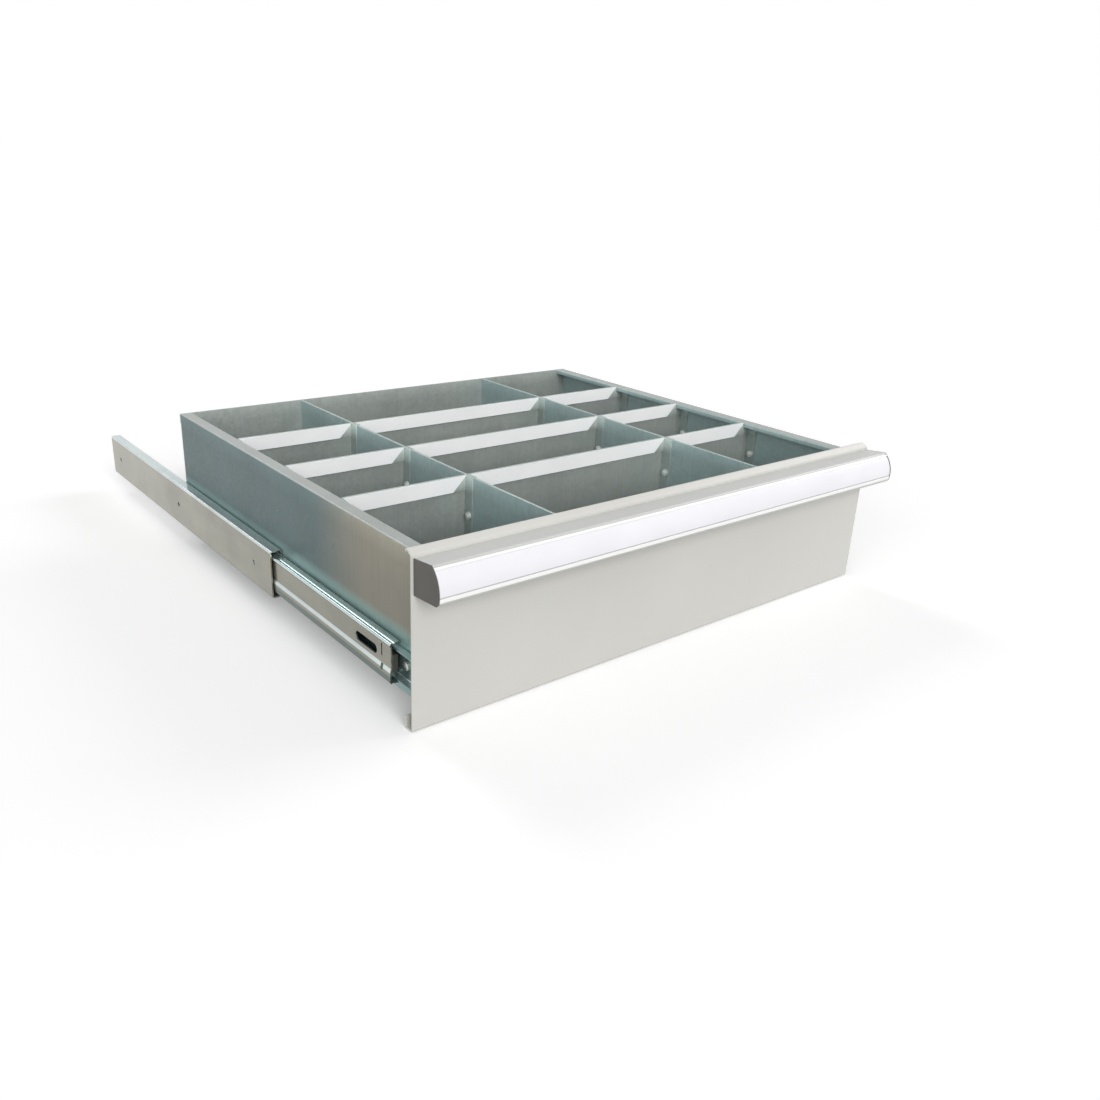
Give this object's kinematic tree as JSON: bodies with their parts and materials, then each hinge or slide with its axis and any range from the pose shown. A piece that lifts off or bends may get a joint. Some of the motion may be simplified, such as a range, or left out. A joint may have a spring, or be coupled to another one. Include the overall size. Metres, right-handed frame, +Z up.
{
  "type": "cabinet drawer with dividers on ball-bearing slides",
  "caption": "Shallow sheet-steel cabinet drawer with a full-width grip and a grid of dividers with blank label strips, on telescopic ball-bearing slides that screw to the cabinet's sides",
  "frame": {"origin": "midway between the two cabinet rails, at their front ends and at the height of the slides' centre line", "axes": "+X to the right as the user faces the drawer, +Y into the cabinet, away from the user, +Z up"},
  "size_m": [0.55, 0.716, 0.1464],
  "materials": {
    "front_paint": "satin light-grey powder coat",
    "grip_paint": "satin light-grey powder coat on an aluminium extrusion",
    "cap_plastic": "fine-grained dark warm grey",
    "holder_white": "smooth white extruded strip",
    "label_white": "smooth blank white strip",
    "galvanised": "galvanised sheet, dull with soft reflections",
    "slide_zinc": "bright zinc-plated, rolled lengthways",
    "cage_steel": "plain zinc-plated strip",
    "ball_steel": "polished bearing balls",
    "screw_zinc": "zinc-plated fasteners",
    "bumper_plastic": "dark grey-brown moulded plastic"
  },
  "bodies": {
    "cabinet_rails": {"left_cabinet_rail": "slide_zinc", "left_rail_bumper": "bumper_plastic", "right_cabinet_rail": "slide_zinc", "right_rail_bumper": "bumper_plastic"},
    "left_middle": {"left_middle_member": "slide_zinc", "left_middle_bumper": "bumper_plastic"},
    "right_middle": {"right_middle_member": "slide_zinc", "right_middle_bumper": "bumper_plastic"},
    "drawer": {"front_panel": "front_paint", "grip_profile": "grip_paint", "left_grip_end_cap": "cap_plastic", "right_grip_end_cap": "cap_plastic", "grip_label_holder": "holder_white", "grip_label_strip": "label_white", "left_side_wall": "galvanised", "right_side_wall": "galvanised", "front_wall": "galvanised", "back_wall": "galvanised", "base_sheet": "galvanised", "left_long_divider": "galvanised", "right_long_divider": "galvanised", "left_cross_divider_1": "galvanised", "left_cross_label_1": "label_white", "middle_cross_divider_1": "galvanised", "middle_cross_label_1": "label_white", "right_cross_divider_1": "galvanised", "right_cross_label_1": "label_white", "left_cross_divider_2": "galvanised", "left_cross_label_2": "label_white", "middle_cross_divider_2": "galvanised", "middle_cross_label_2": "label_white", "right_cross_divider_2": "galvanised", "right_cross_label_2": "label_white", "left_cross_divider_3": "galvanised", "left_cross_label_3": "label_white", "middle_cross_divider_3": "galvanised", "middle_cross_label_3": "label_white", "right_cross_divider_3": "galvanised", "right_cross_label_3": "label_white", "left_inner_member": "slide_zinc", "left_lever_rivet": "cage_steel", "left_slide_screws": "screw_zinc", "right_inner_member": "slide_zinc", "right_lever_rivet": "cage_steel", "right_slide_screws": "screw_zinc", "divider_screws": "screw_zinc", "divider_nuts": "screw_zinc", "front_panel_studs": "screw_zinc", "front_panel_nuts": "screw_zinc", "grip_screws": "screw_zinc"},
    "left_outer_bearing": {"left_outer_cage": "cage_steel", "left_outer_balls": "ball_steel"},
    "right_outer_bearing": {"right_outer_cage": "cage_steel", "right_outer_balls": "ball_steel"},
    "left_inner_bearing": {"left_inner_cage": "cage_steel", "left_inner_balls": "ball_steel"},
    "right_inner_bearing": {"right_inner_cage": "cage_steel", "right_inner_balls": "ball_steel"},
    "left_lever": {"left_release_lever": "bumper_plastic"},
    "right_lever": {"right_release_lever": "bumper_plastic"}
  },
  "joints": [
    {"name": "left_middle_slide", "type": "slide", "parent": "cabinet_rails", "child": "left_middle", "axis": [0, -1, 0], "range_m": [-0.203, 0.022]},
    {"name": "drawer_slide", "type": "slide", "parent": "left_middle", "child": "drawer", "axis": [0, -1, 0], "range_m": [-0.026, 0.199]},
    {"name": "right_middle_slide", "type": "slide", "parent": "cabinet_rails", "child": "right_middle", "axis": [0, -1, 0], "range_m": [-0.203, 0.022]},
    {"name": "left_outer_bearing_slide", "type": "slide", "parent": "cabinet_rails", "child": "left_outer_bearing", "axis": [0, -1, 0], "range_m": [-0.1015, 0.011]},
    {"name": "right_outer_bearing_slide", "type": "slide", "parent": "cabinet_rails", "child": "right_outer_bearing", "axis": [0, -1, 0], "range_m": [-0.1015, 0.011]},
    {"name": "left_inner_bearing_slide", "type": "slide", "parent": "left_middle", "child": "left_inner_bearing", "axis": [0, -1, 0], "range_m": [-0.013, 0.0995]},
    {"name": "right_inner_bearing_slide", "type": "slide", "parent": "right_middle", "child": "right_inner_bearing", "axis": [0, -1, 0], "range_m": [-0.013, 0.0995]},
    {"name": "left_lever_hinge", "type": "hinge", "parent": "drawer", "child": "left_lever", "pos_m": [-0.2667, 0.084, 0], "axis": [1, 0, 0], "range_deg": [-6, 6], "stiffness_Nm_per_rad": 0.02},
    {"name": "right_lever_hinge", "type": "hinge", "parent": "drawer", "child": "right_lever", "pos_m": [0.2667, 0.084, 0], "axis": [1, 0, 0], "range_deg": [-6, 6], "stiffness_Nm_per_rad": 0.02}
  ],
  "couplings": [
    {"joint": "right_middle_slide", "follows": "left_middle_slide", "ratio": 1},
    {"joint": "left_outer_bearing_slide", "follows": "left_middle_slide", "ratio": 0.5},
    {"joint": "right_outer_bearing_slide", "follows": "left_middle_slide", "ratio": 0.5},
    {"joint": "left_inner_bearing_slide", "follows": "drawer_slide", "ratio": 0.5},
    {"joint": "right_inner_bearing_slide", "follows": "drawer_slide", "ratio": 0.5}
  ]
}
